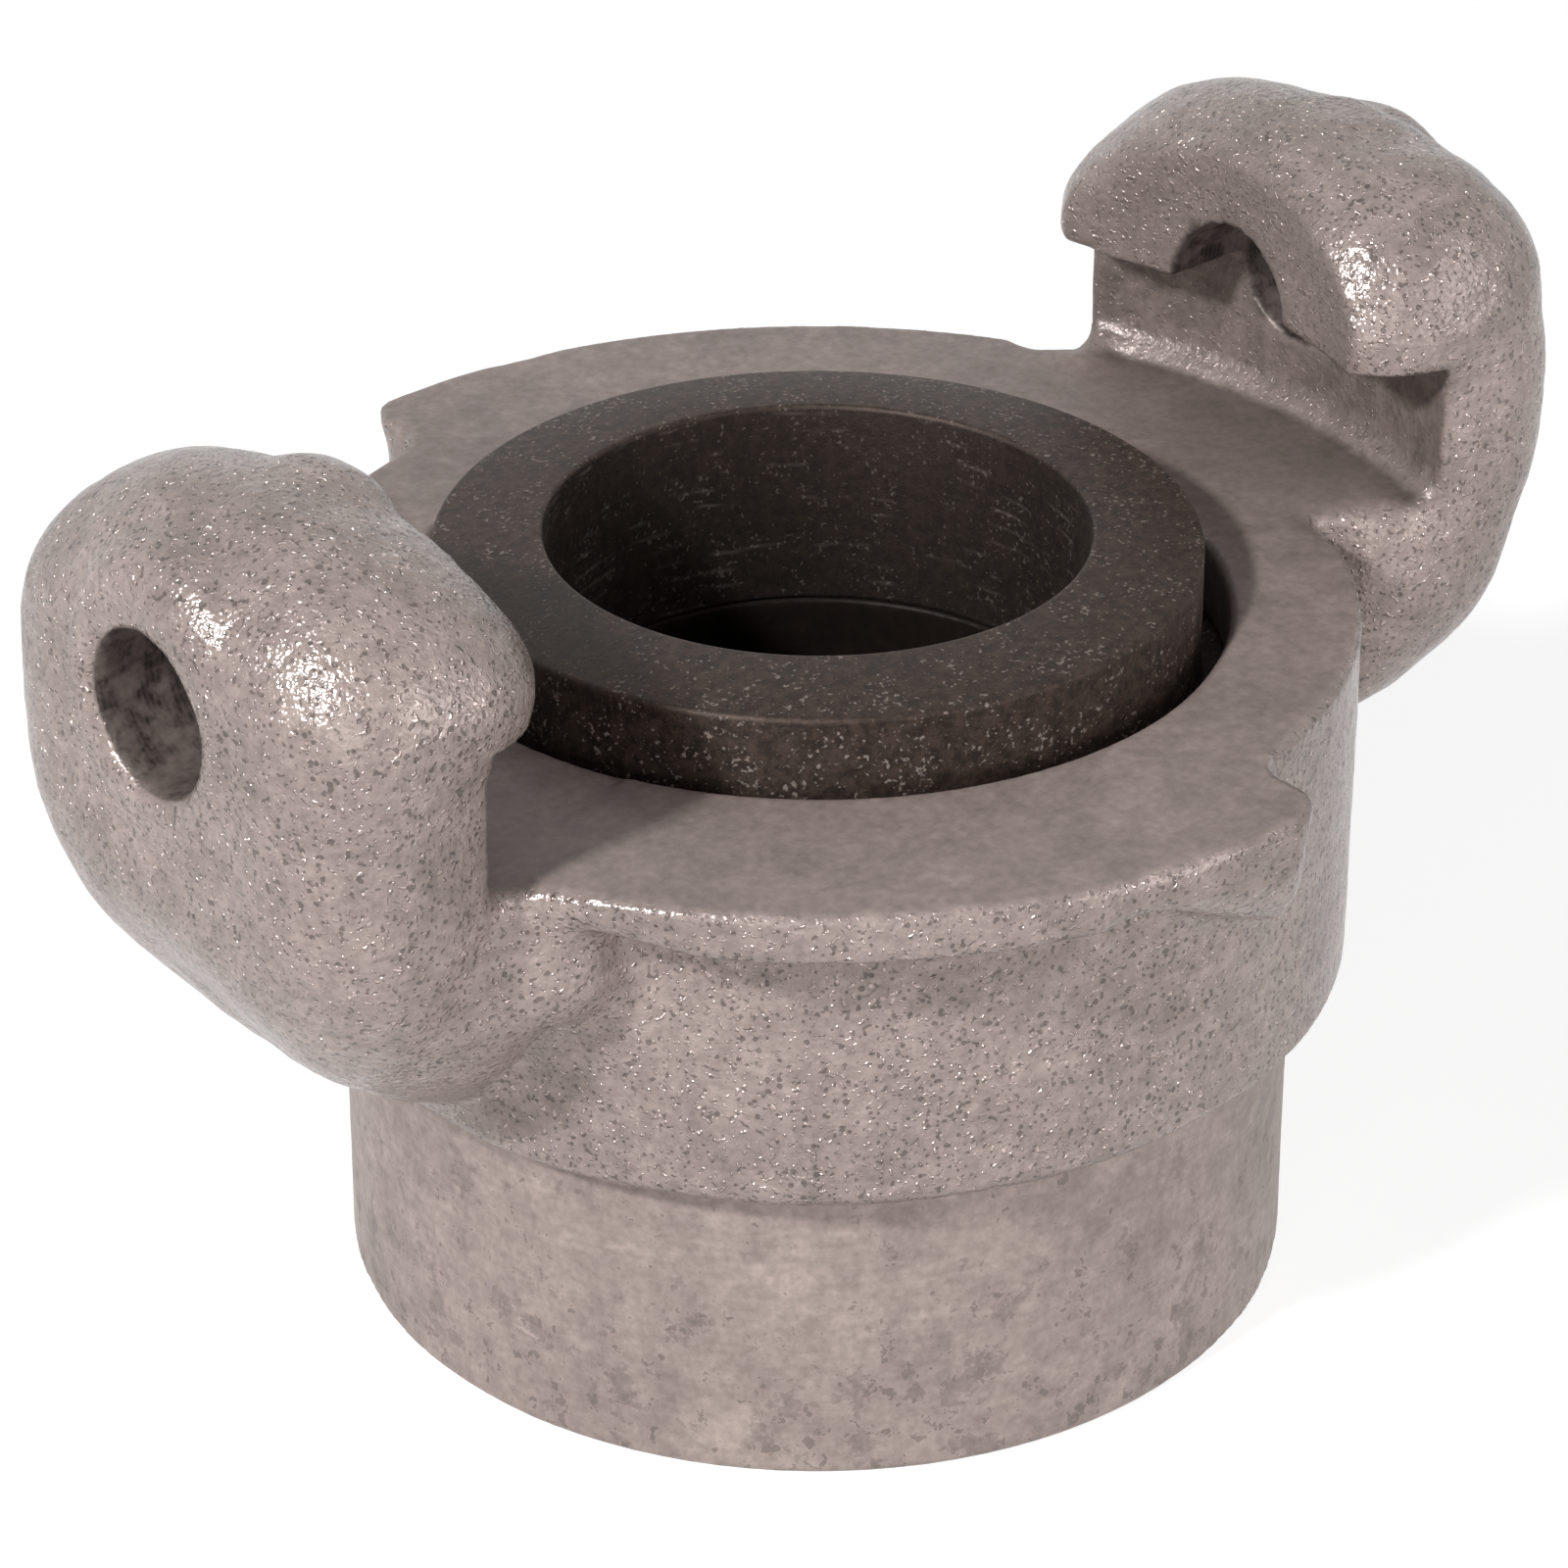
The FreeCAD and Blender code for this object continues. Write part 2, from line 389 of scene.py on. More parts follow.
# The two claws aren't quite alike, as the mould's halves never close quite the same way:
# each swells or shrinks a little here and there.
places = read_vectors(casting.data, "co")
normals = read_vectors(casting.data, "normal")
for middle, spread, swell in (
    ((-0.0392, 0.0004, 0.0702), 0.0056, 0.0012),
    ((-0.0505, 0.0140, 0.0675), 0.0095, -0.0008),
    ((-0.0500, 0.0010, 0.0355), 0.0120, -0.0009),
    ((-0.0365, -0.0145, 0.0385), 0.0100, 0.0015),
    ((0.0365, 0.0145, 0.0385), 0.0100, 0.0015),
    ((0.0500, -0.0030, 0.0710), 0.0065, 0.0006),
    ((0.0405, 0.0160, 0.0660), 0.0075, -0.0005),
    ((0.0425, -0.0125, 0.0690), 0.0085, 0.0009),
    ((0.0505, -0.0125, 0.0685), 0.0085, 0.0006),
    ((0.0400, 0.0165, 0.0492), 0.0036, 0.0005),
    ((0.0510, -0.0150, 0.0540), 0.0100, 0.0005),
    ((0.0428, -0.0160, 0.0372), 0.0130, 0.0016),
):
    places += normals * (nearness(places, middle, spread) * swell)[:, None]
casting.data.vertices.foreach_set("co", places.ravel())
casting.data.update()

near_face = smooth_between(0.0002, 0.0024, np.abs(places[:, 2] - face_height))
within_rim = np.hypot(places[:, 0], places[:, 1]) < slot_wall_radius
levelled = np.where(within_rim, 0.1 + 0.9 * near_face, 1.0)
rough = casting.vertex_groups.new(name="rough")
for index, share in enumerate(skin_shares(casting.data) * levelled):
    rough.add((index,), float(share), "REPLACE")
for name, lump, depth in (("mould_waves", 0.0065, 0.00030), ("mould_grain", 0.0017, 0.00012)):
    add_modifier(
        casting, "DISPLACE", texture=cast_cloud(name, lump), strength=depth,
        mid_level=0.5, texture_coords="LOCAL", vertex_group="rough",
    )
triangles = 2 * len(casting.data.polygons)
add_modifier(casting, "DECIMATE", ratio=min(1.0, most_triangles / triangles))
settle(casting)

# The casting stays in the solids' box, and two attributes tell its material where the skin is
# rough, and where a machined wall is darker and where shade is painted into the slots, the hooks,
# the seat's wall and the bore.
inside_box = np.clip(read_vectors(casting.data, "co"), *(np.array(corner) for corner in cad_box))
casting.data.vertices.foreach_set("co", inside_box.ravel())
casting.data.polygons.foreach_set("use_smooth", [True] * len(casting.data.polygons))
skin_attribute = casting.data.attributes.new("cast_skin", "FLOAT", "POINT")
skin_attribute.data.foreach_set("value", blurred(casting.data, skin_shares(casting.data), 2))
# Painted shade: the slots' floors, feet and walls under the hooks, the hooks' recessed inner
# faces, the seat's wall and the bore's deep walls are darkened in colour. The pin holes' walls are
# partly cut metal and partly painted shade.
slot_shade = 0.12
slot_foot_shade = 0.44
slot_wall_shade = 0.42
hook_face_shade = 0.22
seat_wall_shade = 0.44
drilled_cut_and_shade = 0.58
bore_cut_and_shade = 2.0
x, y, z = read_vectors(casting.data, "co").T
radius = np.hypot(x, y)
in_slot = (
    (radius < slot_wall_radius + 0.0004)
    & (z > face_height - 0.0006)
    & (z < slot_roof + 0.0003)
    & (np.abs(y) < claw_half_width)
)
by_wall = in_slot & (radius > slot_foot_radius)
painted_shade = np.where(in_slot & (np.abs(x) > hook_face_radius - 0.006), slot_shade, 0.0)
painted_shade[by_wall & (z < face_height + 0.0001)] = slot_foot_shade
painted_shade[by_wall & (z > face_height + 0.0006)] = slot_wall_shade
on_hook = (z > slot_roof - 0.0002) & (np.abs(radius - hook_face_radius) < 0.0005)
painted_shade[on_hook] = hook_face_shade
painted_shade[(radius < seat_radius + 0.0003) & (z < face_height - 0.0006)] = seat_wall_shade
painted_shade = blurred(casting.data, painted_shade, 3)
inner_walls = (radius < thread_relief_radius + 0.0003) & (z < face_height - 0.0098)
shade_and_drilled_walls = np.where(in_pin_hole(casting.data), drilled_cut_and_shade, painted_shade)
cut_and_shade_attribute = casting.data.attributes.new("cut_metal_and_painted_shade", "FLOAT", "POINT")
cut_and_shade_attribute.data.foreach_set("value", np.where(inner_walls, bore_cut_and_shade, shade_and_drilled_walls))

# Galvanised malleable iron, as cast: zinc gone dull over sand-cast grain, so the colour is
# a warm grey that mirrors little, with dark pits and raised grains that glint.
iron = bpy.data.materials.new("galvanised_malleable_iron_as_cast")
iron.use_nodes = True
iron.node_tree.nodes.clear()
place = add_node(iron, "TexCoord").outputs["Object"]
skin_share = add_node(iron, "Attribute", attribute_name="cast_skin").outputs["Fac"]
cut_and_shade_share = add_node(iron, "Attribute", attribute_name="cut_metal_and_painted_shade").outputs["Fac"]
drift = add_node(iron, "TexNoise", {"Vector": place, "Scale": 1 / 0.011, "Detail": 1.0})
mottle = add_node(
    iron, "TexNoise", {"Vector": place, "Scale": 1 / 0.0023, "Detail": 3.0, "Roughness": 0.68}
)
grain = add_node(
    iron, "TexNoise", {"Vector": place, "Scale": 1 / 0.00075, "Detail": 2.0, "Roughness": 0.65}
)
clusters = add_node(iron, "TexNoise", {"Vector": place, "Scale": 1 / 0.0055, "Detail": 1.0})
jitter = add_node(iron, "TexNoise", {"Vector": place, "Scale": 1 / 0.00038, "Detail": 0.0})
centred = add_node(
    iron, "VectorMath", {0: jitter.outputs["Color"], 1: (0.5, 0.5, 0.5)}, operation="SUBTRACT"
)
pushed = add_node(
    iron, "VectorMath", {0: centred.outputs[0], "Scale": 0.00016}, operation="SCALE"
)
ragged = add_node(
    iron, "VectorMath", {0: place, 1: pushed.outputs[0]}, operation="ADD"
).outputs[0]
rough_share = add_node(iron, "MapRange", {
    "Value": skin_share, "From Min": 0.25, "From Max": 0.9, "To Min": 0.0, "To Max": 1.0,
}).outputs[0]
lots = add_node(iron, "SeparateColor", {"Color": jitter.outputs["Color"]})
crowding = add_node(iron, "MapRange", {
    "Value": clusters.outputs["Fac"],
    "From Min": 0.35, "From Max": 0.65, "To Min": 0.55, "To Max": 1.15,
}).outputs[0]

# Zinc over the cast skin is pale, the turned face is darker, partly its machined tone and partly
# painted shade on a face that looks up, and cut walls and painted shade are darkest.
paleness = add_node(iron, "MapRange", {
    "Value": skin_share, "From Min": 0.12, "From Max": 0.26, "To Min": 0.0, "To Max": 1.0,
})
face_or_skin = add_node(iron, "Mix", {
    "Factor_Float": paleness.outputs[0],
    "A_Color": linear("#9d8e89"),
    "B_Color": linear("#a4958f"),
}, data_type="RGBA")
# The painted shade and the cut walls' darkness are mottled, then mixed towards a dark brown.
shade_spread = add_node(iron, "MapRange", {
    "Value": mottle.outputs["Fac"],
    "From Min": 0.35, "From Max": 0.62, "To Min": 0.6, "To Max": 1.5,
})
patchy_shade = add_node(
    iron, "Math", {0: cut_and_shade_share, 1: shade_spread.outputs[0]}, operation="MULTIPLY", use_clamp=True
)
with_cut_and_shade = add_node(iron, "Mix", {
    "Factor_Float": patchy_shade.outputs[0],
    "A_Color": face_or_skin.outputs[2],
    "B_Color": linear("#221b18"),
}, data_type="RGBA")
drifting = add_node(iron, "MapRange", {
    "Value": drift.outputs["Fac"],
    "From Min": 0.3, "From Max": 0.7, "To Min": 0.88, "To Max": 1.08,
})
mottled = add_node(iron, "MapRange", {
    "Value": mottle.outputs["Fac"],
    "From Min": 0.3, "From Max": 0.7, "To Min": 0.80, "To Max": 1.14,
})
grained = add_node(iron, "MapRange", {
    "Value": grain.outputs["Fac"],
    "From Min": 0.3, "From Max": 0.7, "To Min": 0.84, "To Max": 1.13,
})
stretched = add_node(iron, "Mapping", {"Vector": place, "Scale": (1.0, 1.0, 9.0)})
streak_pattern = add_node(
    iron, "TexNoise", {"Vector": stretched.outputs[0], "Scale": 1 / 0.0042, "Detail": 2.0}
)
streaked = add_node(iron, "MapRange", {
    "Value": streak_pattern.outputs["Fac"],
    "From Min": 0.3, "From Max": 0.7, "To Min": 0.94, "To Max": 1.05,
})
drift_and_streaks = add_node(
    iron, "Math", {0: drifting.outputs[0], 1: streaked.outputs[0]}, operation="MULTIPLY"
)
uneven = add_node(
    iron, "Math", {0: drift_and_streaks.outputs[0], 1: mottled.outputs[0]}, operation="MULTIPLY"
)
grainy = add_node(
    iron, "Math", {0: uneven.outputs[0], 1: grained.outputs[0]}, operation="MULTIPLY"
)

# Pits up to four tenths of a millimetre wide lie thick between finer dark specks and pale flecks,
# and raised grains catch the lamp and are also painted paler, a painted glint. The turned face has
# none.
dot_spacing = 0.00055
smallest_dot = 0.00001
largest_dot = 0.00021
cells = add_node(
    iron, "TexVoronoi", {"Vector": ragged, "Scale": 1 / dot_spacing, "Randomness": 1.0}
)
cell_lots = add_node(iron, "SeparateColor", {"Color": cells.outputs["Color"]})
dot_size = add_node(iron, "MapRange", {
    "Value": cell_lots.outputs[0], "From Min": 0.0, "From Max": 1.0,
    "To Min": smallest_dot / dot_spacing, "To Max": largest_dot / dot_spacing,
})
crowded = add_node(iron, "Math", {0: dot_size.outputs[0], 1: crowding}, operation="MULTIPLY")
within_dot = add_node(
    iron, "Math", {0: crowded.outputs[0], 1: cells.outputs["Distance"]}, operation="SUBTRACT"
)
dots = add_node(iron, "MapRange", {
    "Value": within_dot.outputs[0],
    "From Min": 0.0, "From Max": 0.07, "To Min": 0.0, "To Max": 1.0,
}).outputs[0]
one_in_three = add_node(
    iron, "Math", {0: cell_lots.outputs[1], 1: 0.33}, operation="LESS_THAN"
)
grains = add_node(iron, "Math", {0: dots, 1: one_in_three.outputs[0]}, operation="MULTIPLY")
round_pits = add_node(iron, "Math", {0: dots, 1: grains.outputs[0]}, operation="SUBTRACT")
specks = add_node(iron, "MapRange", {
    "Value": lots.outputs[0], "From Min": 0.68, "From Max": 0.76, "To Min": 0.0, "To Max": 0.9,
})
flecks = add_node(iron, "MapRange", {
    "Value": lots.outputs[1], "From Min": 0.66, "From Max": 0.78, "To Min": 0.0, "To Max": 1.0,
})
pits = add_node(
    iron, "Math", {0: round_pits.outputs[0], 1: specks.outputs[0]}, operation="MAXIMUM"
)
pitted = add_node(
    iron, "Math", {0: pits.outputs[0], 1: rough_share}, operation="MULTIPLY"
).outputs[0]
bright = add_node(
    iron, "Math", {0: grains.outputs[0], 1: flecks.outputs[0]}, operation="MAXIMUM"
)
raised = add_node(
    iron, "Math", {0: bright.outputs[0], 1: rough_share}, operation="MULTIPLY"
).outputs[0]
# Raised grains are painted paler as a painted glint. The pale flecks are paler zinc.
glint_and_fleck_lift = add_node(iron, "Math", {0: raised, 1: 0.16, 2: 1.0}, operation="MULTIPLY_ADD")
pit_shade = add_node(
    iron, "Math", {0: pitted, 1: -0.50, 2: glint_and_fleck_lift.outputs[0]}, operation="MULTIPLY_ADD"
)

# On the socket the zinc is smoother and has flaked off in crisp islands, most near its
# end, with short dark nicks between them.
height = add_node(iron, "SeparateXYZ", {0: place}).outputs["Z"]
below_belly = add_node(iron, "Math", {0: height, 1: belly_bottom}, operation="LESS_THAN")
on_zinc = add_node(iron, "Math", {0: skin_share, 1: 0.15}, operation="GREATER_THAN")
on_socket = add_node(
    iron, "Math", {0: below_belly.outputs[0], 1: on_zinc.outputs[0]}, operation="MULTIPLY"
).outputs[0]
flake_pattern = add_node(iron, "TexNoise", {
    "Vector": place, "Scale": 1 / 0.0042, "Detail": 5.0, "Roughness": 0.72,
})
nick_pattern = add_node(iron, "TexNoise", {
    "Vector": place, "Scale": 1 / 0.0015, "Detail": 3.0, "Roughness": 0.75,
})
worn = add_node(iron, "MapRange", {
    "Value": height, "From Min": 0.002, "From Max": 0.021, "To Min": 0.0, "To Max": 0.075,
}).outputs[0]
past_flake = add_node(
    iron, "Math", {0: flake_pattern.outputs["Fac"], 1: worn}, operation="SUBTRACT"
)
flaked = add_node(iron, "MapRange", {
    "Value": past_flake.outputs[0],
    "From Min": 0.545, "From Max": 0.556, "To Min": 0.0, "To Max": 0.22,
})
past_nick = add_node(
    iron, "Math", {0: nick_pattern.outputs["Fac"], 1: worn}, operation="SUBTRACT"
)
nicked = add_node(iron, "MapRange", {
    "Value": past_nick.outputs[0],
    "From Min": 0.575, "From Max": 0.62, "To Min": 0.0, "To Max": 0.42,
})
loss = add_node(
    iron, "Math", {0: flaked.outputs[0], 1: nicked.outputs[0]}, operation="MAXIMUM"
)
loss_here = add_node(
    iron, "Math", {0: loss.outputs[0], 1: on_socket}, operation="MULTIPLY"
).outputs[0]
flake_shade = add_node(iron, "Math", {0: 1.0, 1: loss_here}, operation="SUBTRACT")
shade = add_node(
    iron, "Math", {0: grainy.outputs[0], 1: pit_shade.outputs[0]}, operation="MULTIPLY"
)
whole_shade = add_node(
    iron, "Math", {0: shade.outputs[0], 1: flake_shade.outputs[0]}, operation="MULTIPLY"
)

# One long scratch and one paler patch low on the socket, towards the left claw.
scratch_frame = add_node(iron, "Mapping", {
    "Vector": ragged, "Location": (-0.03219, -0.00719, 0.00718),
    "Rotation": (0.0, math.radians(8.0), math.radians(-77.4)), "Scale": (0.00145, 0.0012, 0.00016),
}, vector_type="TEXTURE")
patch_frame = add_node(iron, "Mapping", {
    "Vector": ragged, "Location": (-0.02612, -0.02017, 0.00379),
    "Rotation": (0.0, 0.0, math.radians(-52.3)), "Scale": (0.0028, 0.0020, 0.0021),
}, vector_type="TEXTURE")
from_scratch = add_node(iron, "VectorMath", {0: scratch_frame.outputs[0]}, operation="LENGTH")
from_patch = add_node(iron, "VectorMath", {0: patch_frame.outputs[0]}, operation="LENGTH")
scratch = add_node(iron, "MapRange", {
    "Value": from_scratch.outputs["Value"],
    "From Min": 1.0, "From Max": 0.7, "To Min": 0.0, "To Max": 0.30,
})
patch = add_node(iron, "MapRange", {
    "Value": from_patch.outputs["Value"],
    "From Min": 1.05, "From Max": 0.95, "To Min": 0.0, "To Max": 0.13,
})
paler = add_node(iron, "Math", {0: scratch.outputs[0], 1: patch.outputs[0]}, operation="MAXIMUM")
lighter = add_node(
    iron, "Math", {0: paler.outputs[0], 1: on_socket, 2: whole_shade.outputs[0]},
    operation="MULTIPLY_ADD",
)

# The drill has left rings in the pin holes, which show in patches.
ring_spacing = 0.00042
wave_spacing = 0.314  # a wave texture's own spacing, at a scale of one
in_drilled_hole = add_node(
    iron, "Math", {0: cut_and_shade_share, 1: drilled_cut_and_shade, 2: 0.08}, operation="COMPARE"
)
drill_rings = add_node(iron, "TexWave", {
    "Vector": place, "Scale": wave_spacing / ring_spacing,
    "Distortion": 1.6, "Detail": 2.0, "Detail Scale": 1.2,
}, wave_type="BANDS", bands_direction="X")
drill_patches = add_node(iron, "MapRange", {
    "Value": mottle.outputs["Fac"],
    "From Min": 0.50, "From Max": 0.62, "To Min": 0.0, "To Max": -0.5,
})
drilled = add_node(
    iron, "Math", {0: drill_rings.outputs["Fac"], 1: in_drilled_hole.outputs[0]},
    operation="MULTIPLY",
)
scratched = add_node(
    iron, "Math", {0: drilled.outputs[0], 1: drill_patches.outputs[0], 2: lighter.outputs[0]},
    operation="MULTIPLY_ADD",
)
iron_colour = add_node(iron, "VectorMath", {
    0: with_cut_and_shade.outputs[2], "Scale": scratched.outputs[0],
}, operation="SCALE")

# Relief in tenths of a millimetre: grain, facets, pits and raised grains.
grain_height = add_node(
    iron, "Math", {0: grain.outputs["Fac"], 1: skin_share}, operation="MULTIPLY"
)
facets = add_node(iron, "Math", {0: lots.outputs[2], 1: skin_share}, operation="MULTIPLY")
facet_relief = add_node(iron, "Math", {0: facets.outputs[0], 1: 0.55}, operation="MULTIPLY")
grain_relief = add_node(
    iron, "Math", {0: grain_height.outputs[0], 1: 1.7, 2: facet_relief.outputs[0]},
    operation="MULTIPLY_ADD",
)
pit_relief = add_node(
    iron, "Math", {0: pitted, 1: -0.7, 2: grain_relief.outputs[0]}, operation="MULTIPLY_ADD"
)
relief = add_node(iron, "Math", {0: raised, 1: pit_relief.outputs[0]}, operation="ADD")
bump = add_node(
    iron, "Bump", {"Height": relief.outputs[0], "Strength": 1.0, "Distance": 0.0001}
)
sheen_spread = add_node(iron, "MapRange", {
    "Value": rough_share, "From Min": 0.0, "From Max": 1.0, "To Min": 0.50, "To Max": 0.19,
})
bare = add_node(iron, "Math", {0: raised, 1: 0.7, 2: 0.10}, operation="MULTIPLY_ADD")
gloss = add_node(iron, "MapRange", {
    "Value": cut_and_shade_share, "From Min": 0.0, "From Max": 1.0, "To Min": 0.26, "To Max": 0.04,
})
iron_surface = add_node(iron, "BsdfPrincipled", {
    "Base Color": iron_colour.outputs[0],
    "Metallic": bare.outputs[0],
    "Specular IOR Level": gloss.outputs[0],
    "Roughness": sheen_spread.outputs[0],
    "Normal": bump.outputs["Normal"],
})
add_node(iron, "OutputMaterial", {"Surface": iron_surface.outputs[0]})
casting.data.materials.clear()
casting.data.materials.append(iron)
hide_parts("coupling_body")
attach(casting, "root")

# Pipe thread
# Whitworth pipe thread inside the socket, eleven turns to the inch, cut into the iron
# after galvanising. The solid has only its root wall, so the ridges are added here.
pitch = 0.002309
thread_root = 0.0239
thread_crest = 0.02242
thread_start = 0.0009
thread_end = 0.0203
steps_per_turn = 72
turns = 11

ridge = bmesh.new()
corners = [
    ridge.verts.new((radius, 0, height)) for radius, height in (
        (thread_root + 0.0002, -pitch / 2),
        (thread_root, -pitch / 2),
        (thread_crest, -pitch / 9),
        (thread_crest, pitch / 9),
        (thread_root, pitch / 2),
        (thread_root + 0.0002, pitch / 2),
    )
]
loop = [ridge.edges.new((a, b)) for a, b in zip(corners, corners[1:] + corners[:1])]
bmesh.ops.translate(ridge, verts=ridge.verts, vec=(0, 0, -2 * pitch))
bmesh.ops.spin(
    ridge, geom=corners + loop, cent=(0, 0, 0), axis=(0, 0, 1),
    dvec=(0, 0, pitch / steps_per_turn), angle=2 * math.pi * turns,
    steps=steps_per_turn * turns,
)
for height, direction in ((thread_start, -1), (thread_end, 1)):
    bmesh.ops.bisect_plane(
        ridge, geom=ridge.verts[:] + ridge.edges[:] + ridge.faces[:],
        plane_co=(0, 0, height), plane_no=(0, 0, direction), clear_outer=True,
    )
bmesh.ops.holes_fill(ridge, edges=[e for e in ridge.edges if e.is_boundary], sides=0)
bmesh.ops.recalc_face_normals(ridge, faces=ridge.faces)
thread_mesh = bpy.data.meshes.new("pipe_thread")
ridge.to_mesh(thread_mesh)
ridge.free()
thread = bpy.data.objects.new("pipe_thread", thread_mesh)
bpy.context.scene.collection.objects.link(thread)

# Cut malleable iron, oiled: darker and smoother than the cast skin, with fine tool
# marks along the turn.
cut_iron = bpy.data.materials.new("thread_cut_malleable_iron")
cut_iron.use_nodes = True
cut_iron.node_tree.nodes.clear()
cut_place = add_node(cut_iron, "TexCoord").outputs["Object"]
cut_marks = add_node(
    cut_iron, "TexNoise", {"Vector": cut_place, "Scale": 1 / 0.0006, "Detail": 3.0}
)
cut_colour = add_node(cut_iron, "Mix", {
    "Factor_Float": cut_marks.outputs["Fac"],
    "A_Color": linear("#5f5a57"),
    "B_Color": linear("#8a8480"),
}, data_type="RGBA")
cut_bump = add_node(
    cut_iron, "Bump", {"Height": cut_marks.outputs["Fac"], "Strength": 0.5, "Distance": 0.00004}
)
cut_surface = add_node(cut_iron, "BsdfPrincipled", {
    "Base Color": cut_colour.outputs[2],
    "Metallic": 0.9,
    "Roughness": 0.38,
    "Normal": cut_bump.outputs["Normal"],
})
add_node(cut_iron, "OutputMaterial", {"Surface": cut_surface.outputs[0]})
thread_mesh.materials.append(cut_iron)
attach(thread, "root")

# Seal ring
# One moulded ring of black nitrile rubber, gone brownish, with softly rounded rims and a
# foot that the undercut groove holds. Its top slopes a little from the hole outwards.
ring_hole_radius = 0.01845
ring_radius = 0.0260
ring_foot_radius = 0.0297
ring_seat = 0.0393
ring_foot_top = 0.0435
ring_rim_top = 0.0537
ring_top = 0.0545
ring_rim_rounding = 0.0004

moulding = bmesh.new()
section = [
    moulding.verts.new((radius, 0, height)) for radius, height in (
        (ring_hole_radius, ring_seat),
        (ring_foot_radius, ring_seat),
        (ring_foot_radius, ring_foot_top),
        (ring_radius, ring_foot_top),
        (ring_radius, ring_rim_top),
        (ring_hole_radius, ring_top),
    )
]
outline = [moulding.edges.new((a, b)) for a, b in zip(section, section[1:] + section[:1])]
bmesh.ops.spin(
    moulding, geom=section + outline, cent=(0, 0, 0), axis=(0, 0, 1), dvec=(0, 0, 0),
    angle=2 * math.pi, steps=224, use_merge=True,
)
bmesh.ops.remove_doubles(moulding, verts=moulding.verts, dist=1e-6)
bmesh.ops.recalc_face_normals(moulding, faces=moulding.faces)
rims = [edge for edge in moulding.edges if edge.calc_face_angle(0.0) > 0.6]
bmesh.ops.bevel(
    moulding, geom=rims, offset=ring_rim_rounding, affect="EDGES", segments=4,
    profile=0.5, material=-1,
)
ring_mesh = bpy.data.meshes.new("seal_ring_moulding")
moulding.to_mesh(ring_mesh)
moulding.free()
ring_mesh.polygons.foreach_set("use_smooth", [True] * len(ring_mesh.polygons))
seal = bpy.data.objects.new("seal_ring_moulding", ring_mesh)
bpy.context.scene.collection.objects.link(seal)

# Moulded nitrile rubber: dull brown-black, faintly grained, with pale dust specks.
rubber = bpy.data.materials.new("moulded_nitrile_rubber")
rubber.use_nodes = True
rubber.node_tree.nodes.clear()
rubber_place = add_node(rubber, "TexCoord").outputs["Object"]
bloom = add_node(rubber, "TexNoise", {
    "Vector": rubber_place, "Scale": 1 / 0.0009, "Detail": 4.0, "Roughness": 0.8,
})
bloomed = add_node(rubber, "MapRange", {
    "Value": bloom.outputs["Fac"],
    "From Min": 0.41, "From Max": 0.61, "To Min": 0.0, "To Max": 1.0,
})
rubber_tone = add_node(rubber, "Mix", {
    "Factor_Float": bloomed.outputs[0],
    "A_Color": linear("#070402"),
    "B_Color": linear("#372c26"),
}, data_type="RGBA")
dust = add_node(rubber, "TexNoise", {
    "Vector": rubber_place, "Scale": 1 / 0.00036, "Detail": 1.5, "Roughness": 0.6,
})
dust_spread = add_node(
    rubber, "TexNoise", {"Vector": rubber_place, "Scale": 1 / 0.0032, "Detail": 2.0}
)
dust_edge = add_node(rubber, "MapRange", {
    "Value": dust_spread.outputs["Fac"],
    "From Min": 0.35, "From Max": 0.62, "To Min": 0.69, "To Max": 0.58,
})
past_edge = add_node(
    rubber, "Math", {0: dust.outputs["Fac"], 1: dust_edge.outputs[0]}, operation="SUBTRACT"
)
speck = add_node(rubber, "MapRange", {
    "Value": past_edge.outputs[0],
    "From Min": 0.0, "From Max": 0.09, "To Min": 0.0, "To Max": 0.8,
})

# In its hole the mould has left a few faint rings, less dust lies there, and the hole's wall is
# painted darker, a painted shade.
mould_ring_spacing = 0.0013
across = add_node(rubber, "Mapping", {"Vector": rubber_place, "Scale": (1.0, 1.0, 0.0)})
off_axis = add_node(rubber, "VectorMath", {0: across.outputs[0]}, operation="LENGTH")
in_hole = add_node(rubber, "Math", {
    0: off_axis.outputs["Value"], 1: ring_hole_radius + 0.0001,
}, operation="LESS_THAN")
mould_rings = add_node(rubber, "TexWave", {
    "Vector": rubber_place, "Scale": wave_spacing / mould_ring_spacing,
    "Distortion": 2.2, "Detail": 2.0,
}, wave_type="BANDS", bands_direction="Z")
ring_lines = add_node(rubber, "MapRange", {
    "Value": mould_rings.outputs["Fac"],
    "From Min": 0.80, "From Max": 1.0, "To Min": 0.0, "To Max": 1.0,
})
ring_patches = add_node(rubber, "MapRange", {
    "Value": dust_spread.outputs["Fac"],
    "From Min": 0.52, "From Max": 0.66, "To Min": 0.0, "To Max": 0.16,
})
worn_rings = add_node(
    rubber, "Math", {0: ring_lines.outputs[0], 1: ring_patches.outputs[0]}, operation="MULTIPLY"
)
hole_marks = add_node(
    rubber, "Math", {0: speck.outputs[0], 1: 0.35, 2: worn_rings.outputs[0]},
    operation="MULTIPLY_ADD",
)
marks = add_node(rubber, "Mix", {
    "Factor_Float": in_hole.outputs[0],
    "A_Float": speck.outputs[0],
    "B_Float": hole_marks.outputs[0],
}, data_type="FLOAT")
